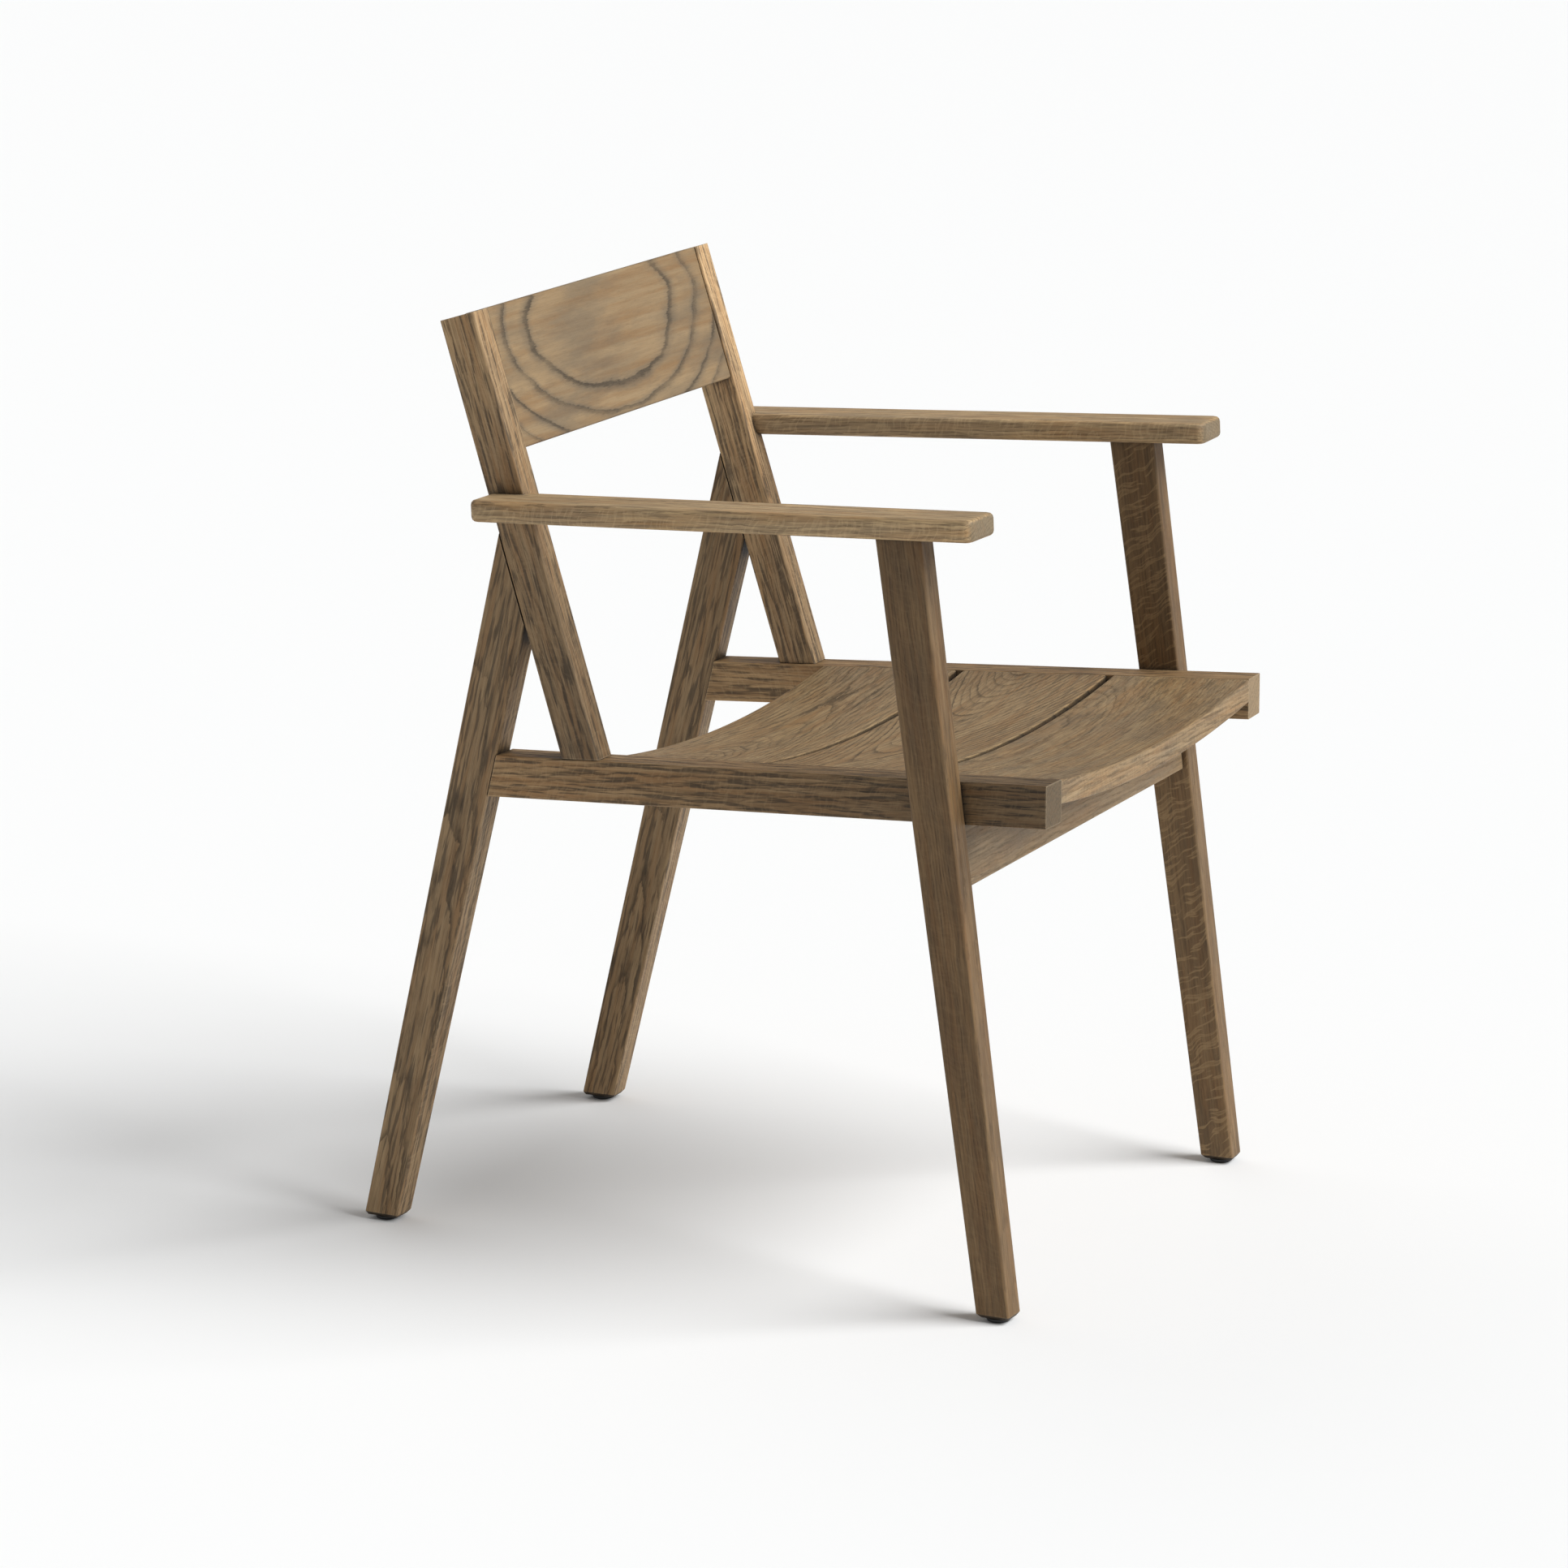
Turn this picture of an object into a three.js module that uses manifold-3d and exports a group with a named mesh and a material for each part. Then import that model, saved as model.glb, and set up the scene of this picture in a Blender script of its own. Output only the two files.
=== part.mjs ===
// Wooden armchair: two leaning side frames, three dished seat boards, a front apron,
// one back board, two flat armrests, and the loose tenons and dowels that join them.
// Millimetres, +Z up. The front of the chair faces -Y; the sitter's left is +X.
// The floor is z = 0 and the outline is centred on x = 0 and y = 0.
import * as THREE from 'three';
import { mergeVertices } from 'three/addons/utils/BufferGeometryUtils.js';
import Module from 'manifold-3d';

const wasm = await Module();
wasm.setup();

const DEG = Math.PI / 180;

// ---------------------------------------------------------------- driving dimensions
// Side frame plane. Distances y run to the rear from the middle of the seat rail.
const FRAME_HALF_WIDTH = 238.5;   // centre plane to the outer face of a seat rail, at y = 0
const FRAME_TOE = 1.95 * DEG;     // the frames close up towards the rear
const FRAME_THICKNESS = 26;       // rear leg and back post, across the chair
const FRAME_EASE = 2.4;           // rounding along the long edges of legs and posts

// Seat rail
const SEAT_HEIGHT = 442;          // top of the rail at y = 0
const RAIL_RISE = 2.89 * DEG;     // the rail climbs towards the front
const RAIL_HEIGHT = 36;
const RAIL_THICKNESS = 30;
const RAIL_FRONT_Y = -189.5;
const RAIL_EASE = 1.2;

// Rear leg
const REAR_FOOT_Y = 456.5;        // back edge at the floor
const REAR_LEG_LEAN = 12.9 * DEG;
const REAR_LEG_FOOT_DEPTH = 32;
const REAR_LEG_TAPER = 0.93 * DEG;

// Back post
const POST_BACK_Y = 257;          // back edge where it stands on the rail
const POST_LEAN = 17.2 * DEG;
const POST_DEPTH = 34;
const POST_ABOVE_SEAT = 360;      // highest corner of the square-cut top over the seat height

// Front leg, fixed to the outer face of the rail
const FRONT_FOOT_Y = -142.3;      // back edge at the floor
const FRONT_LEG_LEAN = 8.4 * DEG;
const FRONT_LEG_FOOT_DEPTH = 29.8;
const FRONT_LEG_TAPER = 0.98 * DEG;
const FRONT_LEG_THICKNESS = 25;

// Armrest
const ARM_ABOVE_SEAT = 204;       // underside over the seat height, at y = 0
const ARM_RISE = 2.58 * DEG;
const ARM_THICKNESS = 18.5;
const ARM_INNER_U = -12;          // inner edge, measured outwards from the frame's outer face
const ARM_WIDTH = 50;
const ARM_FRONT_Y = -139;
const ARM_REAR_Y = 322.5;
const ARM_CORNER = 8;             // rounding of the corners seen from above
const ARM_EASE = 4.2;

// Seat boards
const SEAT_FRONT_Y = -190.5;
const SEAT_BREAK_FRONT_Y = -61.5; // middle of the gap between front and middle board
const SEAT_BREAK_REAR_Y = 80;     // middle of the gap between middle and rear board
const SEAT_REAR_Y = 211.5;
const SEAT_GAP = 6.5;
const SEAT_BOARD_THICKNESS = 20.5;
const SEAT_DISH = 13.5;           // how far the middle of a board lies below its ends
const SEAT_DROP = 0.5;            // ends of the boards below the top of the rails
const SEAT_EASE = 1.6;
const SEAT_STATIONS = 24;

// Back board
const BACK_BOARD_HEIGHT = 121;    // along the posts, down from their tops
const BACK_BOARD_THICKNESS = 22;
const BACK_BOARD_SETBACK = 1.5;   // behind the front faces of the posts
const BACK_BOARD_EASE = 2;

// Front apron
const APRON_BELOW_SEAT = 83;      // bottom edge under the seat height
const APRON_THICKNESS = 20;
const APRON_SETBACK = 5.5;        // behind the front edges of the front legs
const APRON_EASE = 1.6;

// Glides under the feet
const GLIDE_HEIGHT = 3.5;
const GLIDE_RADIUS = 10;
const GLIDE_EDGE = 1.6;
const GLIDE_PIN_RADIUS = 2.5;
const GLIDE_PIN_LENGTH = 14;
const FOOT_CHAMFER = 3.2;

// Joinery
const JOINT_GAP = 0.2;            // glue line between two members that butt
const PEG_CLEARANCE = 0.15;       // all round a tenon or dowel in its hole
const TENON_THICKNESS = 9;
const TENON_DEPTH = 18;           // into each of the two members
const DOWEL_RADIUS = 4;
const DOWEL_DEPTH = 13;
const DOWEL_SIDES = 16;
const TENON_SHARE = 0.6;          // of the rail's height or the post's depth
const FORK_TENON_DEPTH = 12;      // rear leg into back post
const FORK_TENON_HEIGHT = 26;
const FORK_TENON_PLACE = 0.45;    // up the joint, as a share of its height
const APRON_TENON_HEIGHT = 30;
const LAP_DOWEL_OFFSET = 8;       // front leg onto rail, from the middle of the crossing
const ARM_DOWEL_DEPTH = 12;
const BOARD_DOWEL_STATIONS = [0.24, 0.76]; // up the back board
const SEAT_DOWEL_STATIONS = [0.2, 0.8];    // across the width of a seat board
const SEAT_DOWEL_SAG = 1;         // lets the hole follow the start of the dish

// ---------------------------------------------------------------- lines in a side view
// A line is a point and a direction, both as [y, z].
function lineThrough(point, lean) {
  return { p: point, d: [Math.sin(lean), Math.cos(lean)] };
}

function slopeThrough(point, rise) {
  return { p: point, d: [Math.cos(rise), -Math.sin(rise)] };
}

function crossing(a, b) {
  const det = a.d[0] * b.d[1] - a.d[1] * b.d[0];
  const y = b.p[0] - a.p[0];
  const z = b.p[1] - a.p[1];
  const t = (y * b.d[1] - z * b.d[0]) / det;
  return [a.p[0] + a.d[0] * t, a.p[1] + a.d[1] * t];
}

// The same line moved sideways; positive moves towards the side on the right of its direction.
function shifted(line, distance) {
  const point = [line.p[0] + line.d[1] * distance, line.p[1] - line.d[0] * distance];
  return { p: point, d: line.d };
}

function between(a, b, t) {
  return [a[0] + (b[0] - a[0]) * t, a[1] + (b[1] - a[1]) * t];
}

function apart(a, b) {
  return Math.hypot(a[0] - b[0], a[1] - b[1]);
}

const level = (z) => ({ p: [0, z], d: [1, 0] });
const plumb = (y) => ({ p: [y, 0], d: [0, 1] });

// Heights that go up and down with the seat
const armUndersideHeight = SEAT_HEIGHT + ARM_ABOVE_SEAT;
const postTopHeight = SEAT_HEIGHT + POST_ABOVE_SEAT;
const apronBottom = SEAT_HEIGHT - APRON_BELOW_SEAT;

// Edges of the side frame
const railTop = slopeThrough([0, SEAT_HEIGHT], RAIL_RISE);
const railBottom = shifted(railTop, RAIL_HEIGHT);
const armUnderside = slopeThrough([0, armUndersideHeight], ARM_RISE);

const rearLegBack = lineThrough([REAR_FOOT_Y, 0], -REAR_LEG_LEAN);
const rearLegFront = lineThrough([REAR_FOOT_Y - REAR_LEG_FOOT_DEPTH, 0], -REAR_LEG_LEAN - REAR_LEG_TAPER);

const postFoot = crossing(plumb(POST_BACK_Y), railTop);
const postBack = lineThrough(postFoot, POST_LEAN);
const postFront = shifted(postBack, -POST_DEPTH);

const frontLegBack = lineThrough([FRONT_FOOT_Y, 0], FRONT_LEG_LEAN);
const frontLegFront = lineThrough(
  [FRONT_FOOT_Y - FRONT_LEG_FOOT_DEPTH, 0],
  FRONT_LEG_LEAN - FRONT_LEG_TAPER,
);

// ---------------------------------------------------------------- placing in a side frame
// u runs outwards from the outer face of the frame, y to the rear, z up.
function frameMatrix() {
  const matrix = new THREE.Matrix4().makeRotationZ(FRAME_TOE);
  matrix.setPosition(FRAME_HALF_WIDTH, 0, 0);
  return matrix;
}

const intoFrame = frameMatrix();

// Half width between two faces at depth u of the two side frames, measured at y.
function halfWidth(u, y) {
  return (FRAME_HALF_WIDTH + u / Math.cos(FRAME_TOE)) - y * Math.tan(FRAME_TOE);
}

function mirrored(geometry) {
  const copy = geometry.clone();
  copy.scale(-1, 1, 1);
  const index = copy.index.array;
  for (let i = 0; i < index.length; i += 3) {
    [index[i], index[i + 1]] = [index[i + 1], index[i]];
  }
  return copy;
}

// ---------------------------------------------------------------- lofted solids
// Rings of points, all the same length, closed by a flat cap at each end.
function loft(rings) {
  const n = rings[0].length;
  const positions = rings.flat(2);
  const index = [];
  for (let r = 0; r + 1 < rings.length; r += 1) {
    for (let i = 0; i < n; i += 1) {
      const a = r * n + i;
      const b = r * n + ((i + 1) % n);
      index.push(a, b, b + n, a, b + n, a + n);
    }
  }
  const last = (rings.length - 1) * n;
  for (let i = 1; i + 1 < n; i += 1) {
    index.push(0, i + 1, i);
    index.push(last, last + i, last + i + 1);
  }
  const geometry = new THREE.BufferGeometry();
  geometry.setAttribute('position', new THREE.Float32BufferAttribute(positions, 3));
  geometry.setIndex(index);
  return outwards(geometry);
}

function signedVolume(geometry) {
  const p = geometry.attributes.position;
  const index = geometry.index.array;
  const a = new THREE.Vector3();
  const b = new THREE.Vector3();
  const c = new THREE.Vector3();
  let volume = 0;
  for (let i = 0; i < index.length; i += 3) {
    a.fromBufferAttribute(p, index[i]);
    b.fromBufferAttribute(p, index[i + 1]);
    c.fromBufferAttribute(p, index[i + 2]);
    volume += a.dot(b.cross(c)) / 6;
  }
  return volume;
}

function outwards(geometry) {
  if (signedVolume(geometry) > 0) {
    return geometry;
  }
  const index = geometry.index.array;
  for (let i = 0; i < index.length; i += 3) {
    [index[i], index[i + 1]] = [index[i + 1], index[i]];
  }
  return geometry;
}

// Corner-rounded unit square as [s, t] pairs; es and et are the rounding as a share of each side.
function easedSquare(es, et, steps = 3) {
  const corners = [[0, 0], [1, 0], [1, 1], [0, 1]];
  const points = [];
  corners.forEach(([s, t], corner) => {
    if (es === 0) {
      points.push([s, t]);
      return;
    }
    const cs = s === 0 ? es : 1 - es;
    const ct = t === 0 ? et : 1 - et;
    for (let k = 0; k <= steps; k += 1) {
      const angle = (corner * 90 + 180 + (90 * k) / steps) * DEG;
      points.push([cs + es * Math.cos(angle), ct + et * Math.sin(angle)]);
    }
  });
  return points;
}

// A straight member of a side frame. Its side view is the quadrilateral a0, b0, b1, a1;
// the long edges run from a0 to a1 and from b0 to b1. It reaches from u0 to u1.
function member([a0, b0, b1, a1], u0, u1, ease, footChamfer = 0) {
  const depth = (apart(a0, b0) + apart(a1, b1)) / 2;
  const square = easedSquare(ease / (u1 - u0), ease / depth);
  const ring = (a, b, inset) => square.map(([s, t]) => {
    const su = 0.5 + (s - 0.5) * (1 - (2 * inset) / (u1 - u0));
    const st = 0.5 + (t - 0.5) * (1 - (2 * inset) / depth);
    const [y, z] = between(a, b, st);
    return [u0 + (u1 - u0) * su, y, z];
  });
  const rings = [];
  if (footChamfer > 0) {
    const rise = footChamfer / apart(a0, a1);
    rings.push(ring(a0, b0, footChamfer));
    rings.push(ring(between(a0, a1, rise), between(b0, b1, rise), 0));
  } else {
    rings.push(ring(a0, b0, 0));
  }
  rings.push(ring(a1, b1, 0));
  return loft(rings).applyMatrix4(intoFrame);
}

// A board that spans the chair. Its section is the quadrilateral a0, b0, b1, a1 in the side
// view; its ends stop short of the faces at depth u of the two frames. dish lowers the middle.
function crossBoard([a0, b0, b1, a1], u, ease, dish = 0, stations = 1) {
  const width = (apart(a0, b0) + apart(a1, b1)) / 2;
  const height = (apart(a0, a1) + apart(b0, b1)) / 2;
  const section = easedSquare(ease / width, ease / height);
  const outline = section.map(([s, t]) => between(between(a0, b0, s), between(a1, b1, s), t));
  const rings = [];
  for (let k = 0; k <= stations; k += 1) {
    const along = -1 + (2 * k) / stations;
    const drop = dish * (1 - along * along);
    rings.push(outline.map(([y, z]) => [along * (halfWidth(u, y) - JOINT_GAP), y, z - drop]));
  }
  return loft(rings);
}

// ---------------------------------------------------------------- solid cuts
function toManifold(geometry) {
  const triVerts = new Uint32Array(geometry.index.array);
  const vertProperties = new Float32Array(geometry.attributes.position.array);
  return new wasm.Manifold(new wasm.Mesh({ numProp: 3, vertProperties, triVerts }));
}

function cut(geometry, cutters) {
  let solid = toManifold(geometry);
  cutters.forEach((cutter) => {
    solid = solid.subtract(toManifold(cutter));
  });
  const mesh = solid.getMesh();
  const result = new THREE.BufferGeometry();
  result.setAttribute('position', new THREE.Float32BufferAttribute(mesh.vertProperties, 3));
  result.setIndex(Array.from(mesh.triVerts));
  return result;
}

function indexed(geometry) {
  geometry.deleteAttribute('normal');
  geometry.deleteAttribute('uv');
  return mergeVertices(geometry, 1e-4);
}

// ---------------------------------------------------------------- tenons and dowels
// A peg is made twice: as itself, and a clearance larger as the tool that cuts its hole.
function block(size, tilt, centre, grow) {
  const geometry = indexed(new THREE.BoxGeometry(size[0] + grow, size[1] + grow, size[2] + grow));
  geometry.rotateX(-tilt);
  geometry.translate(...centre);
  return geometry;
}

function rod(radius, length, centre, grow, tilt = null) {
  const solid = new THREE.CylinderGeometry(radius + grow / 2, radius + grow / 2, length + grow, DOWEL_SIDES);
  const geometry = indexed(solid);
  if (tilt === null) {
    geometry.rotateZ(-90 * DEG);
  } else {
    geometry.rotateX(90 * DEG - tilt);
  }
  geometry.translate(...centre);
  return geometry;
}

function peg(make, placed) {
  const part = make(0);
  const tool = make(2 * PEG_CLEARANCE);
  if (placed) {
    part.applyMatrix4(intoFrame);
    tool.applyMatrix4(intoFrame);
  }
  return { part, tool };
}

// Pegs that belong to a side frame are placed with it.
const framePeg = (make) => peg(make, true);
const worldPeg = (make) => peg(make, false);

const memberMiddle = -FRAME_THICKNESS / 2;

// Seat rail into rear leg
const railEndTop = crossing(railTop, rearLegFront);
const railEndBottom = crossing(railBottom, rearLegFront);
const railEndMiddle = between(railEndTop, railEndBottom, 0.5);
const railTenon = framePeg((grow) => block(
  [TENON_THICKNESS, 2 * TENON_DEPTH, RAIL_HEIGHT * TENON_SHARE],
  RAIL_RISE,
  [memberMiddle, ...railEndMiddle],
  grow,
));

// Rear leg into back post, square to the back face of the post
const forkBottom = crossing(rearLegFront, postBack);
const forkTop = crossing(rearLegBack, postBack);
const forkMiddle = between(forkBottom, forkTop, FORK_TENON_PLACE);
const forkTenon = framePeg((grow) => block(
  [TENON_THICKNESS, 2 * FORK_TENON_DEPTH, FORK_TENON_HEIGHT],
  POST_LEAN,
  [memberMiddle, ...forkMiddle],
  grow,
));

// Back post into seat rail, along the post
const postFootFront = crossing(postFront, railTop);
const postFootMiddle = between(postFoot, postFootFront, 0.5);
const postTenon = framePeg((grow) => block(
  [TENON_THICKNESS, POST_DEPTH * TENON_SHARE, 2 * TENON_DEPTH],
  POST_LEAN,
  [memberMiddle, ...postFootMiddle],
  grow,
));

// Front leg onto the outer face of the rail: two dowels on a diagonal
const lapMiddle = between(
  between(crossing(frontLegFront, railTop), crossing(frontLegBack, railTop), 0.5),
  between(crossing(frontLegFront, railBottom), crossing(frontLegBack, railBottom), 0.5),
  0.5,
);
const lapDowels = [-1, 1].map((side) => framePeg((grow) => rod(
  DOWEL_RADIUS,
  2 * DOWEL_DEPTH,
  [0, lapMiddle[0] + side * LAP_DOWEL_OFFSET, lapMiddle[1] + side * LAP_DOWEL_OFFSET],
  grow,
)));

// Armrest on the front leg: a dowel along the leg
const armSeat = between(crossing(frontLegFront, armUnderside), crossing(frontLegBack, armUnderside), 0.5);
const armDowel = framePeg((grow) => rod(
  DOWEL_RADIUS,
  2 * ARM_DOWEL_DEPTH,
  [FRONT_LEG_THICKNESS / 2, ...armSeat],
  grow,
  FRONT_LEG_LEAN,
));

// Armrest against the outer face of the post
const armMiddleLine = shifted(armUnderside, -ARM_THICKNESS / 2);
const armAtPost = between(crossing(postFront, armMiddleLine), crossing(postBack, armMiddleLine), 0.5);
const armPostDowel = framePeg((grow) => rod(DOWEL_RADIUS, 2 * DOWEL_DEPTH, [0, ...armAtPost], grow));

// ---------------------------------------------------------------- back board
const postTopFront = crossing(postFront, level(postTopHeight));
const postTop = { p: postTopFront, d: [postBack.d[1], -postBack.d[0]] };
const boardBottom = shifted(postTop, BACK_BOARD_HEIGHT);
const boardFront = shifted(postFront, BACK_BOARD_SETBACK);
const boardBack = shifted(boardFront, BACK_BOARD_THICKNESS);
const boardSection = [
  crossing(boardFront, boardBottom),
  crossing(boardBack, boardBottom),
  crossing(boardBack, postTop),
  crossing(boardFront, postTop),
];

const boardMiddleLow = between(boardSection[0], boardSection[1], 0.5);
const boardMiddleHigh = between(boardSection[3], boardSection[2], 0.5);
const boardDowels = BOARD_DOWEL_STATIONS.map((t) => {
  const [y, z] = between(boardMiddleLow, boardMiddleHigh, t);
  return worldPeg((grow) => rod(DOWEL_RADIUS, 2 * DOWEL_DEPTH, [halfWidth(-FRAME_THICKNESS, y), y, z], grow));
});

// ---------------------------------------------------------------- front apron
const apronFront = shifted(frontLegFront, APRON_SETBACK);
const apronBack = shifted(apronFront, APRON_THICKNESS);
const apronTop = shifted(railBottom, JOINT_GAP);
const apronSection = [
  crossing(apronFront, level(apronBottom)),
  crossing(apronBack, level(apronBottom)),
  crossing(apronBack, apronTop),
  crossing(apronFront, apronTop),
];

const apronMiddle = between(
  between(apronSection[0], apronSection[1], 0.5),
  between(apronSection[3], apronSection[2], 0.5),
  0.5,
);
const apronLean = FRONT_LEG_LEAN - FRONT_LEG_TAPER;
const apronTenon = worldPeg((grow) => block(
  [2 * DOWEL_DEPTH, TENON_THICKNESS, APRON_TENON_HEIGHT],
  apronLean,
  [halfWidth(0, apronMiddle[0]), ...apronMiddle],
  grow,
));

// ---------------------------------------------------------------- seat boards
const seatTop = shifted(railTop, SEAT_DROP);
const seatBottom = shifted(seatTop, SEAT_BOARD_THICKNESS);
const seatBoards = [
  { name: 'seat_board_front', from: SEAT_FRONT_Y, to: SEAT_BREAK_FRONT_Y - SEAT_GAP / 2 },
  {
    name: 'seat_board_middle',
    from: SEAT_BREAK_FRONT_Y + SEAT_GAP / 2,
    to: SEAT_BREAK_REAR_Y - SEAT_GAP / 2,
  },
  { name: 'seat_board_rear', from: SEAT_BREAK_REAR_Y + SEAT_GAP / 2, to: SEAT_REAR_Y },
];

const seatMiddle = shifted(seatTop, SEAT_BOARD_THICKNESS / 2 + SEAT_DOWEL_SAG);
seatBoards.forEach((board) => {
  board.section = [
    crossing(plumb(board.from), seatBottom),
    crossing(plumb(board.to), seatBottom),
    crossing(plumb(board.to), seatTop),
    crossing(plumb(board.from), seatTop),
  ];
  board.dowels = SEAT_DOWEL_STATIONS.map((t) => {
    const [y, z] = crossing(plumb(board.from + (board.to - board.from) * t), seatMiddle);
    const x = halfWidth(-RAIL_THICKNESS, y);
    return worldPeg((grow) => rod(DOWEL_RADIUS, 2 * DOWEL_DEPTH, [x, y, z], grow));
  });
});

// ---------------------------------------------------------------- glides
function footMiddle(front, back) {
  return between(crossing(front, level(GLIDE_HEIGHT)), crossing(back, level(GLIDE_HEIGHT)), 0.5);
}

function glide(middle, u, grow) {
  const profile = [
    [0, 0],
    [GLIDE_RADIUS - GLIDE_EDGE, 0],
    [GLIDE_RADIUS - GLIDE_EDGE * 0.3, GLIDE_EDGE * 0.3],
    [GLIDE_RADIUS, GLIDE_EDGE],
    [GLIDE_RADIUS, GLIDE_HEIGHT],
    [GLIDE_PIN_RADIUS, GLIDE_HEIGHT],
    [GLIDE_PIN_RADIUS, GLIDE_HEIGHT + GLIDE_PIN_LENGTH],
    [0, GLIDE_HEIGHT + GLIDE_PIN_LENGTH + 2],
  ].map(([r, z]) => new THREE.Vector2(r, z));
  const solid = grow > 0
    ? new THREE.CylinderGeometry(
      GLIDE_PIN_RADIUS + grow / 2,
      GLIDE_PIN_RADIUS + grow / 2,
      2 * (GLIDE_PIN_LENGTH + 2 + grow),
      DOWEL_SIDES,
    )
    : new THREE.LatheGeometry(profile, 32);
  const geometry = indexed(solid);
  geometry.rotateX(90 * DEG);
  if (grow > 0) {
    geometry.translate(0, 0, GLIDE_HEIGHT);
  }
  geometry.translate(u, middle[0], 0);
  return geometry;
}

const rearFoot = footMiddle(rearLegFront, rearLegBack);
const frontFoot = footMiddle(frontLegFront, frontLegBack);
const rearGlide = framePeg((grow) => glide(rearFoot, -FRAME_THICKNESS / 2, grow));
const frontGlide = framePeg((grow) => glide(frontFoot, FRONT_LEG_THICKNESS / 2, grow));

// ---------------------------------------------------------------- side frame members
const footLevel = level(GLIDE_HEIGHT);
const railEndLine = shifted(rearLegFront, -JOINT_GAP);
const postBackGap = shifted(postBack, JOINT_GAP);
const railTopGap = shifted(railTop, -JOINT_GAP);
const armUndersideGap = shifted(armUnderside, JOINT_GAP);

const railFront = plumb(RAIL_FRONT_Y);
const railShape = [
  crossing(railBottom, railFront),
  crossing(railTop, railFront),
  crossing(railTop, railEndLine),
  crossing(railBottom, railEndLine),
];

const rearLegShape = [
  crossing(rearLegFront, footLevel),
  crossing(rearLegBack, footLevel),
  crossing(rearLegBack, postBackGap),
  crossing(rearLegFront, postBackGap),
];

const postShape = [
  crossing(postFront, railTopGap),
  crossing(postBack, railTopGap),
  crossing(postBack, postTop),
  crossing(postFront, postTop),
];

const frontLegShape = [
  crossing(frontLegFront, footLevel),
  crossing(frontLegBack, footLevel),
  crossing(frontLegBack, armUndersideGap),
  crossing(frontLegFront, armUndersideGap),
];

// Armrest: a rounded board cut out round the post.
function armrestBlank() {
  const r = ARM_CORNER;
  const u0 = ARM_INNER_U;
  const u1 = ARM_INNER_U + ARM_WIDTH;
  const y0 = ARM_FRONT_Y;
  const y1 = ARM_REAR_Y;
  const shape = new THREE.Shape();
  shape.moveTo(u0 + r, y0);
  shape.lineTo(u1 - r, y0);
  shape.absarc(u1 - r, y0 + r, r, -90 * DEG, 0);
  shape.lineTo(u1, y1 - r);
  shape.absarc(u1 - r, y1 - r, r, 0, 90 * DEG);
  shape.lineTo(u0, y1);
  shape.lineTo(u0, y0 + r);
  shape.absarc(u0 + r, y0 + r, r, 180 * DEG, 270 * DEG);
  const solid = new THREE.ExtrudeGeometry(shape, {
    depth: ARM_THICKNESS - 2 * ARM_EASE,
    bevelEnabled: true,
    bevelThickness: ARM_EASE,
    bevelSize: ARM_EASE,
    bevelOffset: -ARM_EASE,
    bevelSegments: 3,
    curveSegments: 5,
  });
  const geometry = indexed(solid);
  geometry.translate(0, 0, ARM_EASE);
  geometry.rotateX(-ARM_RISE);
  geometry.translate(0, 0, armUndersideHeight);
  return geometry.applyMatrix4(intoFrame);
}

// The room the post takes up in the armrest.
const postRoomFront = shifted(postFront, -JOINT_GAP);
const postRoomBack = shifted(postBack, JOINT_GAP);
const postRoom = member(
  [
    crossing(postRoomFront, level(armUndersideHeight - 100)),
    crossing(postRoomBack, level(armUndersideHeight - 100)),
    crossing(postRoomBack, level(armUndersideHeight + 100)),
    crossing(postRoomFront, level(armUndersideHeight + 100)),
  ],
  -FRAME_THICKNESS - JOINT_GAP,
  JOINT_GAP,
  0,
);

// ---------------------------------------------------------------- materials
const woods = {
  frame: { color: 0x7a5c3c, roughness: 0.62 },
  arm: { color: 0x92744e, roughness: 0.55 },
  seat: { color: 0x8f7350, roughness: 0.6 },
  back: { color: 0xa58c66, roughness: 0.6 },
  peg: { color: 0xb59a72, roughness: 0.7 },
};

function woodMaterial(kind) {
  return new THREE.MeshStandardMaterial({ ...woods[kind], metalness: 0 });
}

function plasticMaterial() {
  return new THREE.MeshStandardMaterial({ color: 0x141414, roughness: 0.45, metalness: 0 });
}

// ---------------------------------------------------------------- assembly
const chair = new THREE.Group();
chair.name = 'wooden_armchair';

function add(name, geometry, material) {
  const mesh = new THREE.Mesh(geometry, material);
  mesh.name = name;
  chair.add(mesh);
}

function addPair(name, geometry, makeMaterial) {
  add(`${name}_left`, geometry, makeMaterial());
  add(`${name}_right`, mirrored(geometry), makeMaterial());
}

const wood = (kind) => () => woodMaterial(kind);
const bothSides = (pegs) => pegs.flatMap(({ tool }) => [tool, mirrored(tool)]);
const tools = (pegs) => pegs.map(({ tool }) => tool);

const seatDowels = seatBoards.flatMap((board) => board.dowels);

addPair('side_rail', cut(
  member(railShape, -RAIL_THICKNESS, 0, RAIL_EASE),
  tools([railTenon, postTenon, ...lapDowels, ...seatDowels]),
), wood('frame'));

addPair('rear_leg', cut(
  member(rearLegShape, -FRAME_THICKNESS, 0, FRAME_EASE, FOOT_CHAMFER),
  tools([railTenon, forkTenon, rearGlide]),
), wood('frame'));

addPair('back_post', cut(
  member(postShape, -FRAME_THICKNESS, 0, FRAME_EASE),
  tools([forkTenon, postTenon, armPostDowel, ...boardDowels]),
), wood('frame'));

addPair('front_leg', cut(
  member(frontLegShape, JOINT_GAP, FRONT_LEG_THICKNESS, FRAME_EASE, FOOT_CHAMFER),
  tools([...lapDowels, armDowel, apronTenon, frontGlide]),
), wood('frame'));

addPair('armrest', cut(
  armrestBlank(),
  [postRoom, ...tools([armDowel, armPostDowel])],
), wood('arm'));

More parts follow.
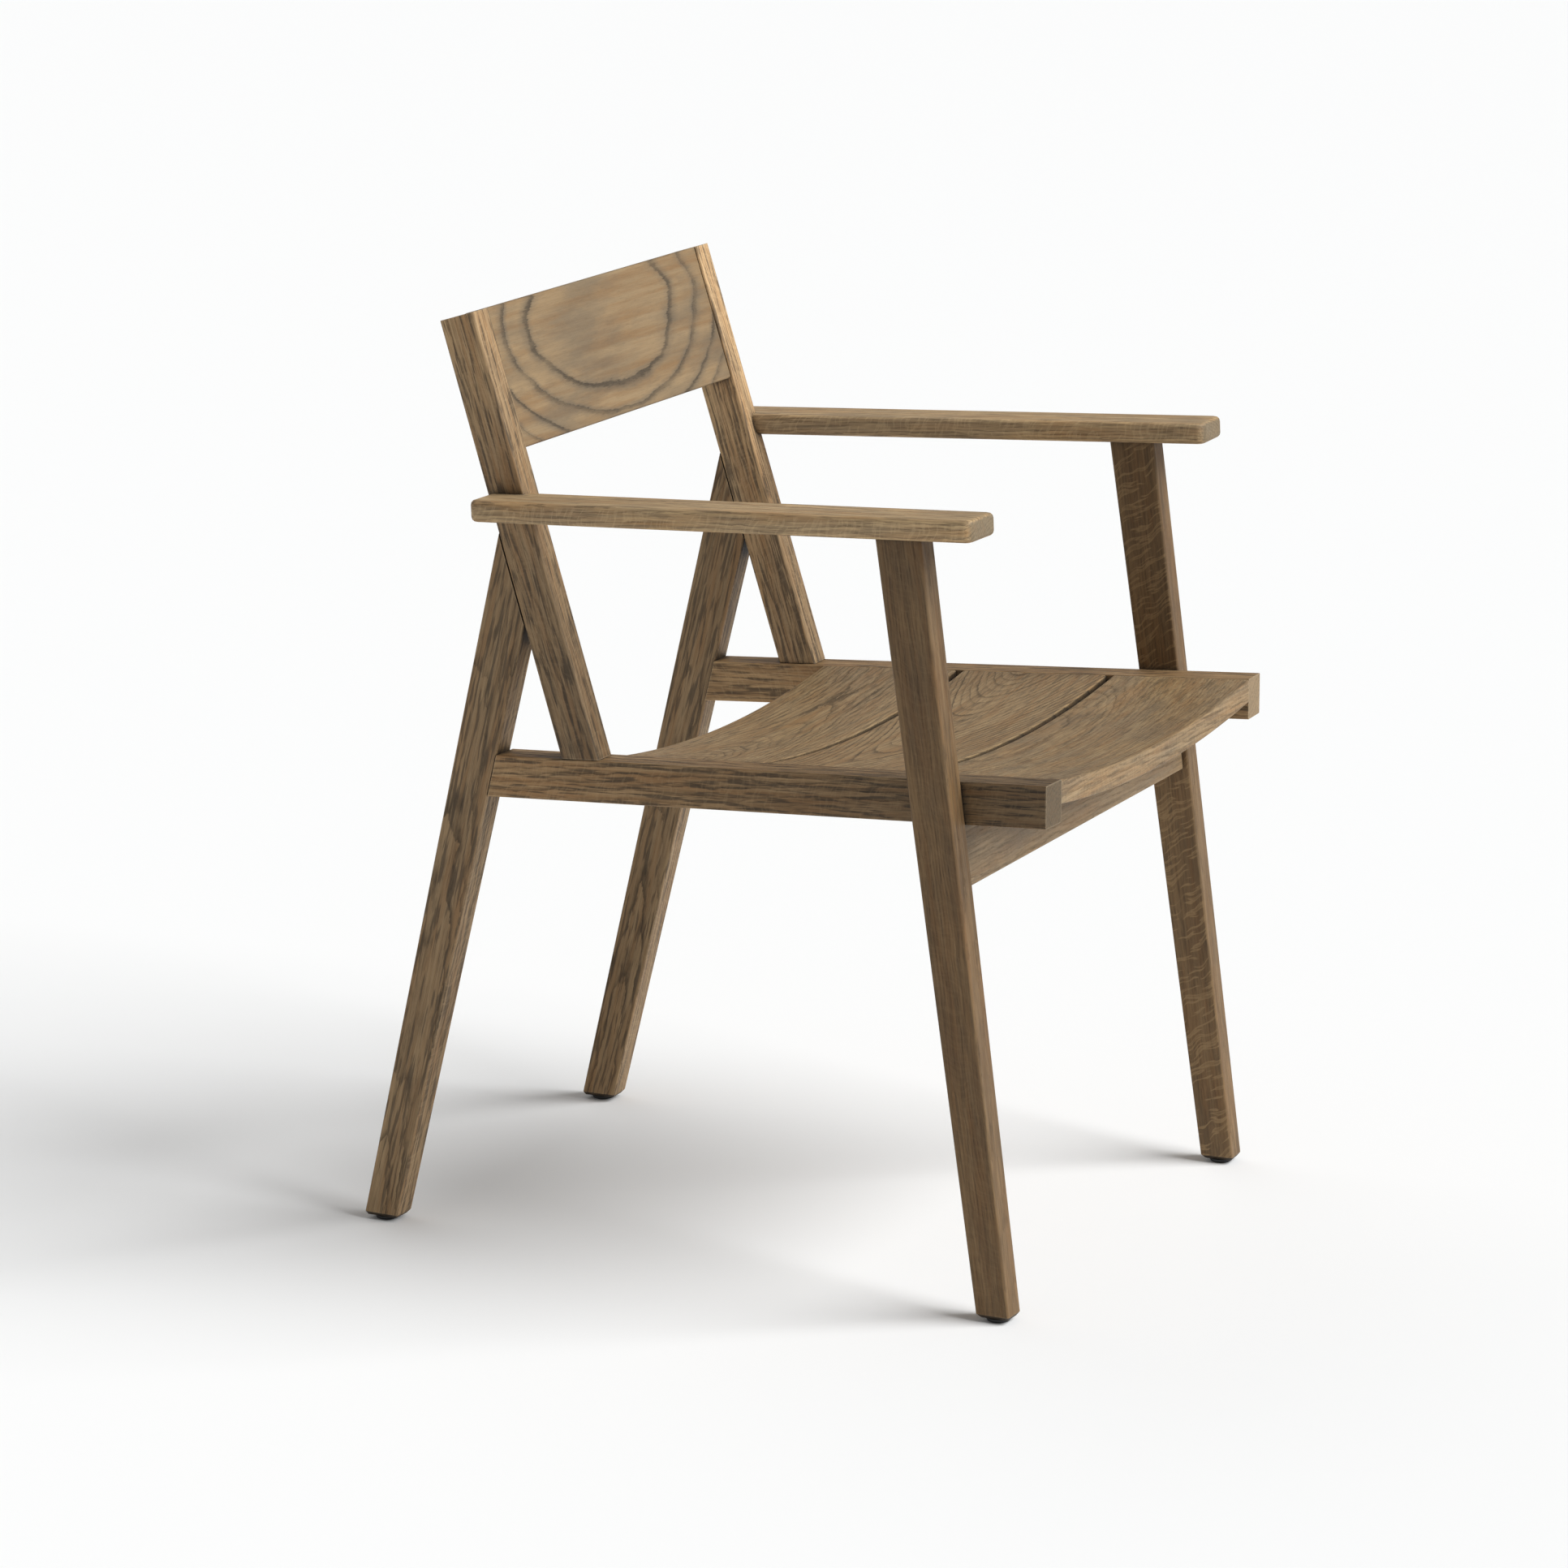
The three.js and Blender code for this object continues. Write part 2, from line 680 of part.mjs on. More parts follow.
add('backrest_board', cut(
  crossBoard(boardSection, -FRAME_THICKNESS, BACK_BOARD_EASE),
  bothSides(boardDowels),
), woodMaterial('back'));

seatBoards.forEach((board) => {
  const blank = crossBoard(board.section, -RAIL_THICKNESS, SEAT_EASE, SEAT_DISH, SEAT_STATIONS);
  add(board.name, cut(blank, bothSides(board.dowels)), woodMaterial('seat'));
});

add('front_apron', cut(
  crossBoard(apronSection, 0, APRON_EASE),
  bothSides([apronTenon]),
), woodMaterial('seat'));

addPair('tenon_rail_rear', railTenon.part, wood('peg'));
addPair('tenon_rear_leg', forkTenon.part, wood('peg'));
addPair('tenon_post_foot', postTenon.part, wood('peg'));
addPair('tenon_apron', apronTenon.part, wood('peg'));
addPair('dowel_front_leg_low', lapDowels[0].part, wood('peg'));
addPair('dowel_front_leg_high', lapDowels[1].part, wood('peg'));
addPair('dowel_arm_front', armDowel.part, wood('peg'));
addPair('dowel_arm_post', armPostDowel.part, wood('peg'));
addPair('dowel_backrest_low', boardDowels[0].part, wood('peg'));
addPair('dowel_backrest_high', boardDowels[1].part, wood('peg'));
seatBoards.forEach((board) => {
  const place = board.name.replace('seat_board_', '');
  addPair(`dowel_seat_${place}_a`, board.dowels[0].part, wood('peg'));
  addPair(`dowel_seat_${place}_b`, board.dowels[1].part, wood('peg'));
});
addPair('glide_rear', rearGlide.part, plasticMaterial);
addPair('glide_front', frontGlide.part, plasticMaterial);

// Centre the outline over the origin; the glides already stand on z = 0.
const outline = new THREE.Box3().setFromObject(chair);
const middleY = (outline.min.y + outline.max.y) / 2;
chair.children.forEach((mesh) => mesh.geometry.translate(0, -middleY, 0));

export default chair;
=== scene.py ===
import math

import bpy
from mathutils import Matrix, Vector


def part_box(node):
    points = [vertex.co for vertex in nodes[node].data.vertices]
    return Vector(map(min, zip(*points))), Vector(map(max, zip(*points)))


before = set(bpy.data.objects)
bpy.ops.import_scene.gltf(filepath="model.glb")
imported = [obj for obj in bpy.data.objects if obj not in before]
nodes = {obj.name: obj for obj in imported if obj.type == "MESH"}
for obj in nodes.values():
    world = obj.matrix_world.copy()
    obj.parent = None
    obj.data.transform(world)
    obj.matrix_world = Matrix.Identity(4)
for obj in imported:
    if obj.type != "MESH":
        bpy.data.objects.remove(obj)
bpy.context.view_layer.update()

# Wooden armchair. Metres, +Z up; the chair faces -Y and the sitter's left is +X.

# ---------------------------------------------------------------- directions in the chair
TOE = math.radians(1.95)               # the side frames close up towards the rear
RAIL_RISE = math.radians(2.9)          # rails and seat boards climb to the front
ARM_RISE = math.radians(2.6)
REAR_LEG_LEAN = math.radians(-13.4)    # leans are of the middle line of a piece that tapers
POST_LEAN = math.radians(17.2)
FRONT_LEG_LEAN = math.radians(7.9)
APRON_LEAN = math.radians(7.4)
LEVEL = math.radians(90)
SIDES = {"left": 1, "right": -1}
ACROSS = Vector((1.0, 0.0, 0.0))


def up_the_frame(side, lean):
    """A direction in the plane of a side frame; lean is measured from upright towards the rear."""
    back, up = math.sin(lean), math.cos(lean)
    return Vector((-side * math.sin(TOE) * back, math.cos(TOE) * back, up))


def out_of_frame(side):
    return Vector((side * math.cos(TOE), math.sin(TOE), 0.0))


def faces_front(lean):
    """Straight out of the front of a board that leans back."""
    return Vector((0.0, -math.cos(lean), math.sin(lean)))


# ---------------------------------------------------------------- colours of the wood
# Linear RGB, before a piece's own tint.
PALE = (0.385, 0.285, 0.170, 1.0)        # latewood
MID = (0.205, 0.136, 0.073, 1.0)         # slow streaks of stain
DARK = (0.062, 0.047, 0.031, 1.0)        # earlywood, full of stain
WARM = (0.270, 0.155, 0.068, 1.0)        # red-brown heartwood
SHADE = (0.140, 0.122, 0.098, 1.0)       # stain that turned grey along a wide ring
PORE = (0.045, 0.032, 0.020, 1.0)
FLECK = (0.48, 0.37, 0.23, 1.0)          # medullary rays
END = (0.310, 0.262, 0.190)              # end grain
WORN_AND_HIGHLIGHT = (0.56, 0.44, 0.29, 1.0)           # rubbed edges, with a painted highlight along them
CREVICE_SHADE_AND_DIRT = (0.016, 0.012, 0.009, 1.0)     # painted shade in corners, gaps and joints, with some oil and dirt in the joints

# ---------------------------------------------------------------- figure of the wood
# Size of each feature in millimetres: towards the bark, round the log and along the grain.
BEND_SIZE = (55, 55, 210)
RIPPLE_SIZE = (20, 20, 42)
TEETH_SIZE = (1.5, 1.5, 9)
PATCH_SIZE = (18, 18, 70)
BROAD_STREAK_SIZE = (16, 16, 330)
STREAK_SIZE = (2.6, 2.6, 85)
HAIR_SIZE = (0.8, 0.8, 26)
STAIN_SIZE = (2.8, 2.8, 38)
CLOUD_SIZE = (26, 26, 95)
WARM_SIZE = (8, 8, 130)
PORE_SIZE = (0.5, 0.5, 9)
RAY_SIZE = (24, 8, 3.2)
RAY_DRIFT_SIZE = (22, 60, 70)

# How far the rings wander, in millimetres.
BEND_REACH = 13.0
RIPPLE_REACH = 7.0
TEETH_REACH = 4.0

# How dark a growth ring is, from its inner edge at 0 to its outer edge at 1.
SOFT_RING = ((0.0, 1.0), (0.09, 0.8), (0.3, 0.2), (0.62, 0.0), (0.955, 0.05), (1.0, 1.0))
THIN_RING = ((0.0, 1.0), (0.08, 0.85), (0.16, 0.15), (0.30, 0.0), (0.95, 0.0), (1.0, 1.0))
GREY_EDGE = ((0.0, 0.9), (0.16, 0.55), (0.38, 0.0), (0.80, 0.0), (1.0, 0.9))

MILLIMETRES = 1000.0                     # in a metre
SEED_SHIFT = (131.0, 57.0, 419.0)        # moves one piece's noise away from another's
RAY_WANDER = 22.0                        # how far rays drift along the grain, in millimetres
RAY_SLOPE = 0.45                         # and how steeply they cross it
SHADE_FADE_RANGE = (0.45, 1.4)                 # the painted shade along a piece gets no darker or lighter than this

# The most that each mark covers of the colour under it.
GREY_SHARE = 0.85
PORE_SHARE = 0.55
END_SHARE = 0.72

# ---------------------------------------------------------------- surface of the wood
# Edges are lightened partly by wear and partly by a painted highlight.
WEAR_AND_HIGHLIGHT_RADIUS = 0.0022
WEAR_AND_HIGHLIGHT_AMOUNT = 0.42
# Corners and gaps are darkened with painted shade and some dirt, as far as this reaches, in metres.
SHADE_AND_DIRT_REACH = 0.014
SHADE_AND_DIRT_SHARE = ((0.30, 0.92), (0.52, 0.8), (0.66, 0.0))    # how open a spot is, and its share of painted shade and dirt
GLOSS = 0.28
ROUGH = 0.50                                       # of plain wood, and what each mark adds
ROUGH_RING = 0.16
ROUGH_STREAK = 0.08
ROUGH_END = 0.15
RELIEF_UNIT = 0.001                                # the three depths below are in millimetres
HAIR_DEPTH = 0.05
PORE_DEPTH = 0.10
RING_DEPTH = 0.06

# ---------------------------------------------------------------- plastic of the glides
BLACK = (0.009, 0.009, 0.010, 1.0)
SCUFFED = (0.030, 0.029, 0.028, 1.0)
SCUFF_SIZE = (3.0, 0.7, 3.0)
MOULD_GRAIN_SIZE = (0.5, 0.5, 0.5)
MOULD_GRAIN_DEPTH = 0.00006
PLASTIC_ROUGH = 0.38
ROUGH_SCUFF = 0.25


class Net:
    """Short calls that build a node tree."""

    def __init__(self, tree):
        self.tree = tree

    def feed(self, socket, value):
        if isinstance(value, bpy.types.NodeSocket):
            self.tree.links.new(value, socket)
        else:
            socket.default_value = value

    def node(self, kind, *inputs, **settings):
        made = self.tree.nodes.new(kind)
        for name, value in settings.items():
            setattr(made, name, value)
        for socket, value in zip(made.inputs, inputs):
            self.feed(socket, value)
        return made

    def maths(self, operation, a, b=0.0, clamp=False):
        return self.node("ShaderNodeMath", a, b, operation=operation, use_clamp=clamp).outputs[0]

    def add(self, a, b, clamp=False):
        return self.maths("ADD", a, b, clamp)

    def minus(self, a, b):
        return self.maths("SUBTRACT", a, b)

    def times(self, a, b, clamp=False):
        return self.maths("MULTIPLY", a, b, clamp)

    def blend(self, share, a, b):
        """From a to b."""
        return self.add(a, self.times(share, self.minus(b, a)))

    def vector(self, operation, a, b):
        made = self.node("ShaderNodeVectorMath", a, b, operation=operation)
        return made.outputs["Value" if operation == "DOT_PRODUCT" else "Vector"]

    def scaled(self, a, factor):
        made = self.node("ShaderNodeVectorMath", a, operation="SCALE")
        self.feed(made.inputs["Scale"], factor)
        return made.outputs["Vector"]

    def joined(self, x, y, z):
        return self.node("ShaderNodeCombineXYZ", x, y, z).outputs[0]

    def facing(self, normal, direction):
        """1 where the surface looks along the direction or against it, 0 where it lies along it."""
        return self.maths("ABSOLUTE", self.vector("DOT_PRODUCT", normal, direction))

    def noise(self, place, size, detail=2.0, roughness=0.5, distortion=0.0):
        """Noise from 0 to 1 with features of the given size."""
        made = self.node("ShaderNodeTexNoise")
        self.feed(made.inputs["Vector"], self.vector("DIVIDE", place, size))
        made.inputs["Scale"].default_value = 1.0
        made.inputs["Detail"].default_value = detail
        made.inputs["Roughness"].default_value = roughness
        made.inputs["Distortion"].default_value = distortion
        return made.outputs["Fac"]

    def wander(self, place, size, reach, *settings):
        """Noise about zero, as wide as reach."""
        return self.times(self.minus(self.noise(place, size, *settings), 0.5), reach)

    def ramp(self, value, *stops):
        """Straight lines through (position, height) stops."""
        made = self.node("ShaderNodeValToRGB", value)
        elements = made.color_ramp.elements
        while len(elements) < len(stops):
            elements.new(0.5)
        for element, (position, height) in zip(elements, stops):
            element.position = position
        for element, (position, height) in zip(elements, stops):
            element.color = (height, height, height, 1.0)
        return made.outputs["Color"]

    def mix(self, share, a, b, mode="MIX"):
        made = self.node("ShaderNodeMix", data_type="RGBA", blend_type=mode)
        self.feed(made.inputs["Factor"], share)
        self.feed(made.inputs[6], a)
        self.feed(made.inputs[7], b)
        return made.outputs[2]


# ---------------------------------------------------------------- the log every piece is sawn from
LOG_INPUTS = (
    ("Centre", "NodeSocketVector", None),
    ("Grain", "NodeSocketVector", None),
    ("Radial", "NodeSocketVector", None),
    ("Tint", "NodeSocketColor", (1.0, 1.0, 1.0, 1.0)),
    ("Pith", "NodeSocketFloat", 60.0),       # from the pith to the middle of the piece, in millimetres
    ("Ring", "NodeSocketFloat", 3.0),        # one year's growth, in millimetres
    ("Taper", "NodeSocketFloat", 0.02),
    ("Bow", "NodeSocketFloat", 0.0),
    ("Wave", "NodeSocketFloat", 1.0),
    ("Teeth", "NodeSocketFloat", 0.4),
    ("Lines", "NodeSocketFloat", 0.7),
    ("Thin", "NodeSocketFloat", 0.0),        # 0 soft rings, 1 thin lines with a grey edge
    ("Streaks", "NodeSocketFloat", 0.6),
    ("Stains", "NodeSocketFloat", 0.4),
    ("Clouds", "NodeSocketFloat", 0.0),      # broad greyish patches
    ("Flecks", "NodeSocketFloat", 0.2),
    ("Tone", "NodeSocketFloat", 0.5),
    ("Ends", "NodeSocketFloat", 0.8),        # brightness of the end grain
    ("Fade", "NodeSocketFloat", 0.0),        # painted shade: gets lighter along the grain, per metre
    ("Seed", "NodeSocketFloat", 0.0),
)


def growth_rings(net, given, place, x, y, z):
    """The rings round the pith, with the log's taper, bow and unevenness.

    Gives how dark the ring is here, how grey its edge is, and how strong it is altogether.
    """
    add, times = net.add, net.times
    radius = net.maths("SQRT", add(times(x, x), times(y, y)))
    bow = times(times(z, z), given["Bow"])
    bend = net.wander(place, BEND_SIZE, BEND_REACH, 1.5)
    ripple = net.wander(place, RIPPLE_SIZE, RIPPLE_REACH, 2.0, 0.55)
    teeth = net.wander(place, TEETH_SIZE, TEETH_REACH, 2.0, 0.6)
    uneven = add(times(add(bend, ripple), given["Wave"]), times(teeth, given["Teeth"]))
    depth = add(add(radius, times(z, given["Taper"])), add(bow, uneven))
    count = net.maths("DIVIDE", depth, given["Ring"])
    within = net.maths("FRACT", count)

    # Some years are fainter than others, and thin rings don't show inside the first one.
    luck = net.node("ShaderNodeTexWhiteNoise", noise_dimensions="1D")
    net.feed(luck.inputs["W"], add(net.maths("FLOOR", count), given["Seed"]))
    patchy = net.ramp(net.noise(place, PATCH_SIZE), (0.3, 0.45), (0.6, 1.0))
    bulge = net.maths("DIVIDE", times(y, y), times(given["Pith"], 2.0))
    outside = net.maths("DIVIDE", add(bulge, bow), given["Ring"])
    heart = net.blend(given["Thin"], 1.0, net.ramp(outside, (0.6, 0.04), (0.95, 1.0)))
    strength = times(times(add(times(luck.outputs["Value"], 0.7), 0.4), patchy), heart)

    profile = net.blend(given["Thin"], net.ramp(within, *SOFT_RING), net.ramp(within, *THIN_RING))
    ring = times(profile, strength, clamp=True)
    return ring, net.ramp(within, *GREY_EDGE), strength


def medullary_rays(net, given, place, x, y, z, shift, round_the_log):
    """Pale flecks across the grain, on the faces that are sawn along the rays."""
    drift = net.add(net.times(net.noise(place, RAY_DRIFT_SIZE, 1.0), RAY_WANDER), net.times(x, RAY_SLOPE))
    ray_place = net.vector("ADD", net.joined(x, y, net.add(z, drift)), shift)
    ray = net.ramp(net.noise(ray_place, RAY_SIZE, 1.0), (0.54, 0.0), (0.60, 1.0), (0.68, 0.4))
    quartered = net.ramp(round_the_log, (0.5, 0.08), (0.85, 1.0))
    return net.times(net.times(ray, quartered), given["Flecks"])


def log_group():
    """Solid wood. The piece's own log runs along Grain; Radial points from the pith to the bark."""
    tree = bpy.data.node_groups.new("log", "ShaderNodeTree")
    face = tree.interface
    for name, kind, value in LOG_INPUTS:
        socket = face.new_socket(name=name, in_out="INPUT", socket_type=kind)
        if value is not None:
            socket.default_value = value
    face.new_socket(name="Color", in_out="OUTPUT", socket_type="NodeSocketColor")
    face.new_socket(name="Roughness", in_out="OUTPUT", socket_type="NodeSocketFloat")
    face.new_socket(name="Height", in_out="OUTPUT", socket_type="NodeSocketFloat")

    net = Net(tree)
    add, times, minus = net.add, net.times, net.minus
    given = net.node("NodeGroupInput").outputs

    # A point's place in the log, in millimetres: x from the pith to the bark, z along the grain.
    here = net.node("ShaderNodeTexCoord").outputs["Object"]
    normal = net.node("ShaderNodeNewGeometry").outputs["Normal"]
    from_centre = net.scaled(net.vector("SUBTRACT", here, given["Centre"]), MILLIMETRES)
    tangent = net.vector("CROSS_PRODUCT", given["Grain"], given["Radial"])
    x = add(net.vector("DOT_PRODUCT", from_centre, given["Radial"]), given["Pith"])
    y = net.vector("DOT_PRODUCT", from_centre, tangent)
    z = net.vector("DOT_PRODUCT", from_centre, given["Grain"])
    shift = net.scaled(SEED_SHIFT, given["Seed"])
    place = net.vector("ADD", net.joined(x, y, z), shift)

    ring, grey_edge, strength = growth_rings(net, given, place, x, y, z)
    ray = medullary_rays(net, given, place, x, y, z, shift, net.facing(normal, tangent))
    streaky = net.ramp(net.noise(place, STREAK_SIZE, 4.0, 0.62, 0.15), (0.36, 0.0), (0.64, 1.0))
    broad_streak = net.noise(place, BROAD_STREAK_SIZE)
    hair = net.noise(place, HAIR_SIZE, 3.0, 0.6)
    stain = net.ramp(net.noise(place, STAIN_SIZE, 2.0, 0.55), (0.52, 0.0), (0.61, 1.0))
    cloud = net.ramp(net.noise(place, CLOUD_SIZE, 3.0, 0.6), (0.42, 0.0), (0.66, 1.0))
    warm = net.ramp(net.noise(place, WARM_SIZE, 3.0, 0.6), (0.46, 0.0), (0.66, 0.55))
    pore = net.ramp(net.noise(place, PORE_SIZE, 1.0), (0.56, 0.0), (0.66, 1.0))
    pore = times(pore, add(times(ring, 0.75), 0.25))

    # The colours, one over the other.
    dim = add(times(minus(streaky, 0.5), given["Streaks"]), minus(broad_streak, 0.5))
    color = net.mix(add(dim, given["Tone"], clamp=True), PALE, MID)
    color = net.mix(times(net.ramp(hair, (0.5, 0.0), (0.75, 1.0)), given["Streaks"]), color, DARK)
    color = net.mix(warm, color, WARM)
    color = net.mix(times(cloud, given["Clouds"]), color, SHADE)
    color = net.mix(times(stain, given["Stains"]), color, DARK)
    greyed = times(times(grey_edge, strength, clamp=True), times(given["Thin"], GREY_SHARE))
    color = net.mix(greyed, color, SHADE)
    color = net.mix(times(ring, given["Lines"], clamp=True), color, DARK)
    color = net.mix(times(pore, PORE_SHARE), color, PORE)
    color = net.mix(ray, color, FLECK)

    # End grain, greyer than the faces, then the piece's own tint and the painted shade that changes along
    # the grain.
    end = times(net.ramp(net.facing(normal, given["Grain"]), (0.6, 0.0), (0.9, 1.0)), END_SHARE)
    color = net.mix(end, color, net.scaled(END, given["Ends"]))
    color = net.mix(1.0, color, given["Tint"], "MULTIPLY")
    # Painted shade along the piece, darker towards one end and lighter towards the other.
    darkest, lightest = SHADE_FADE_RANGE
    fade = add(times(z, times(given["Fade"], 1.0 / MILLIMETRES)), 1.0)
    color = net.scaled(color, net.maths("MINIMUM", net.maths("MAXIMUM", fade, darkest), lightest))

    rough = add(times(ring, ROUGH_RING), add(times(streaky, ROUGH_STREAK), ROUGH))
    rough = add(rough, times(end, ROUGH_END), clamp=True)
    height = minus(times(hair, HAIR_DEPTH), add(times(pore, PORE_DEPTH), times(ring, RING_DEPTH)))
    result = net.node("NodeGroupOutput")
    net.feed(result.inputs["Color"], color)
    net.feed(result.inputs["Roughness"], rough)
    net.feed(result.inputs["Height"], height)
    return tree


LOG = log_group()


def new_material(name):
    material = bpy.data.materials.new(name)
    material.use_nodes = True
    return material, Net(material.node_tree), material.node_tree.nodes["Principled BSDF"]


def bump(net, shader, height, distance):
    relief = net.node("ShaderNodeBump")
    relief.inputs["Strength"].default_value = 1.0
    relief.inputs["Distance"].default_value = distance
    net.feed(relief.inputs["Height"], height)
    net.feed(shader.inputs["Normal"], relief.outputs["Normal"])


def wood(name, grain, radial, centre, **sawing):
    """The material of one piece: where it lay in its log, and how that log grew."""
    material, net, shader = new_material(f"wood_{name}")
    log = net.node("ShaderNodeGroup", node_tree=LOG)
    along = grain.normalized()
    log.inputs["Centre"].default_value = centre
    log.inputs["Grain"].default_value = along
    log.inputs["Radial"].default_value = (radial - along * radial.dot(along)).normalized()
    for key, value in sawing.items():
        log.inputs[key.capitalize()].default_value = (*value, 1.0) if key == "tint" else value

    # Edges are rubbed pale, partly as a painted highlight, and corners and gaps between pieces are
    # darkened with painted shade and some dirt.
    edge_bevel = net.node("ShaderNodeBevel", samples=4)
    edge_bevel.inputs["Radius"].default_value = WEAR_AND_HIGHLIGHT_RADIUS
    plain = net.node("ShaderNodeNewGeometry").outputs["Normal"]
    bend = net.minus(1.0, net.vector("DOT_PRODUCT", edge_bevel.outputs["Normal"], plain))
    # Edges are painted paler: partly real wear, partly a painted highlight.
    worn_and_highlit = net.times(net.ramp(bend, (0.02, 0.0), (0.25, 1.0)), WEAR_AND_HIGHLIGHT_AMOUNT)
    # Painted shade: occluded corners, gaps and joints are darkened, with some dirt in the joints.
    crevice_shade_probe = net.node("ShaderNodeAmbientOcclusion", samples=6)
    crevice_shade_probe.inputs["Distance"].default_value = SHADE_AND_DIRT_REACH
    before_crevice_shade = net.mix(worn_and_highlit, log.outputs["Color"], WORN_AND_HIGHLIGHT)
    net.feed(shader.inputs["Base Color"], net.mix(net.ramp(crevice_shade_probe.outputs["AO"], *SHADE_AND_DIRT_SHARE), before_crevice_shade, CREVICE_SHADE_AND_DIRT))
    net.feed(shader.inputs["Roughness"], log.outputs["Roughness"])
    bump(net, shader, log.outputs["Height"], RELIEF_UNIT)
    shader.inputs["Specular IOR Level"].default_value = GLOSS
    return material


def plastic():
    """Black moulded plastic, scuffed underneath."""
    material, net, shader = new_material("glide_plastic")
    place = net.scaled(net.node("ShaderNodeTexCoord").outputs["Object"], MILLIMETRES)
    scuff = net.ramp(net.noise(place, SCUFF_SIZE, 3.0), (0.5, 0.0), (0.7, 1.0))
    net.feed(shader.inputs["Base Color"], net.mix(scuff, BLACK, SCUFFED))
    net.feed(shader.inputs["Roughness"], net.add(PLASTIC_ROUGH, net.times(scuff, ROUGH_SCUFF)))
    bump(net, shader, net.noise(place, MOULD_GRAIN_SIZE), MOULD_GRAIN_DEPTH)
    return material


def dress(name, material):
    slots = nodes[name].data.materials
    slots.clear()
    slots.append(material)


def middle(name):
    low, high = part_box(name)
    return (low + high) / 2


# ---------------------------------------------------------------- side frames
# Lean of the piece, how its outer face is sawn (0 through flat rings, 90 along the rays), and its log.
# Each log's fade paints shade along the piece: darker towards the rails' front ends, the posts' feet and
# the legs' tops.
FRAME_PIECES = {
    "side_rail": (LEVEL + RAIL_RISE, 50, dict(
        tint=(0.84, 0.73, 0.60), pith=60, ring=4.2, taper=0.012, wave=0.8, lines=0.8, streaks=0.7,
        stains=0.8, tone=0.40, fade=1.7)),
    "rear_leg": (REAR_LEG_LEAN, 12, dict(
        tint=(1.02, 0.94, 0.84), pith=26, ring=5.0, taper=0.035, wave=1.1, lines=0.85, streaks=0.55,
        stains=0.7, tone=0.42, fade=-0.4)),
    "back_post": (POST_LEAN, 40, dict(
        tint=(1.02, 0.93, 0.82), pith=60, ring=3.6, taper=0.02, wave=0.8, lines=0.75, streaks=0.65,
        stains=0.8, clouds=0.2, tone=0.42, fade=1.4)),
    "front_leg": (FRONT_LEG_LEAN, 78, dict(
        tint=(0.62, 0.52, 0.40), pith=90, ring=2.8, taper=0.01, wave=0.7, lines=0.4, streaks=0.5,
        stains=0.3, clouds=0.3, tone=0.42, flecks=0.1, fade=-0.3)),
}
# Pieces that differ from their partner's. The far side rail is painted lighter, with less painted shade
# along it, over the shadow its armrest casts on it; the far back post is tinted lighter; the far front
# leg has more flecks and fainter rings.
LIGHTER = {"side_rail_left": 1.4, "back_post_left": 1.6}
OTHER_SAWING = {
    "side_rail_left": dict(fade=0.3),
    "front_leg_left": dict(flecks=0.75, lines=0.25),
}
SEED_STEP = 1.37
PEG_SEED_STEP = 0.61

seed = 1.0
for piece, (lean, turn, sawing) in FRAME_PIECES.items():
    for side_name, side in SIDES.items():
        name = f"{piece}_{side_name}"
        grain = up_the_frame(side, lean)
        out = out_of_frame(side)
        angle = math.radians(turn)
        radial = out * math.cos(angle) + grain.cross(out) * math.sin(angle)
        sawn = {**sawing, **OTHER_SAWING.get(name, {})}
        sawn["tint"] = tuple(channel * LIGHTER.get(name, 1.0) for channel in sawing["tint"])
        dress(name, wood(name, grain, radial, middle(name), seed=seed, **sawn))
        seed += SEED_STEP

# ---------------------------------------------------------------- armrests
for side_name, side in SIDES.items():
    name = f"armrest_{side_name}"
    dress(name, wood(
        name, up_the_frame(side, LEVEL + ARM_RISE), Vector((side * 0.55, 0.0, 1.0)), middle(name),
        tint=(1.50, 1.42, 1.27), pith=70, ring=3.0, taper=0.012, wave=0.7, lines=0.75, streaks=0.7,
        stains=0.4, clouds=0.35, tone=0.28, ends=0.3, seed=seed,
    ))
    seed += SEED_STEP

# ---------------------------------------------------------------- boards across the chair
# From pith to bark, how far behind the board's middle its log is centred, and the log.
seat_normal = Vector((0.0, math.sin(RAIL_RISE), math.cos(RAIL_RISE)))
SEAT_BOARDS = {
    "seat_board_rear": (-seat_normal, 0.006, dict(
        pith=44, ring=3.6, taper=0.08, wave=0.8, lines=0.8, streaks=0.7, clouds=0.15)),
    "seat_board_middle": (-seat_normal, 0.012, dict(
        pith=34, ring=4.4, taper=-0.16, wave=0.4, lines=1.0, streaks=0.5)),
    "seat_board_front": (seat_normal + Vector((0.0, -0.9, 0.0)), 0.0, dict(
        pith=80, ring=2.6, taper=0.02, wave=0.6, lines=0.45, streaks=0.7, clouds=0.45)),
}
for name, (radial, behind, sawing) in SEAT_BOARDS.items():
    dress(name, wood(
        name, ACROSS, radial, middle(name) + Vector((0.0, behind, 0.0)),
        tint=(1.0, 0.92, 0.78), stains=0.4, tone=0.42, seed=seed, **sawing,
    ))
    seed += SEED_STEP

dress("front_apron", wood(
    "front_apron", ACROSS, faces_front(APRON_LEAN) + Vector((0.0, 0.0, 0.9)), middle("front_apron"),
    tint=(0.97, 0.94, 0.90), clouds=0.5, pith=80, ring=2.6, taper=0.01, wave=0.6, lines=0.35,
    streaks=0.4, stains=0.2, tone=0.4, seed=seed,
))
seed += SEED_STEP

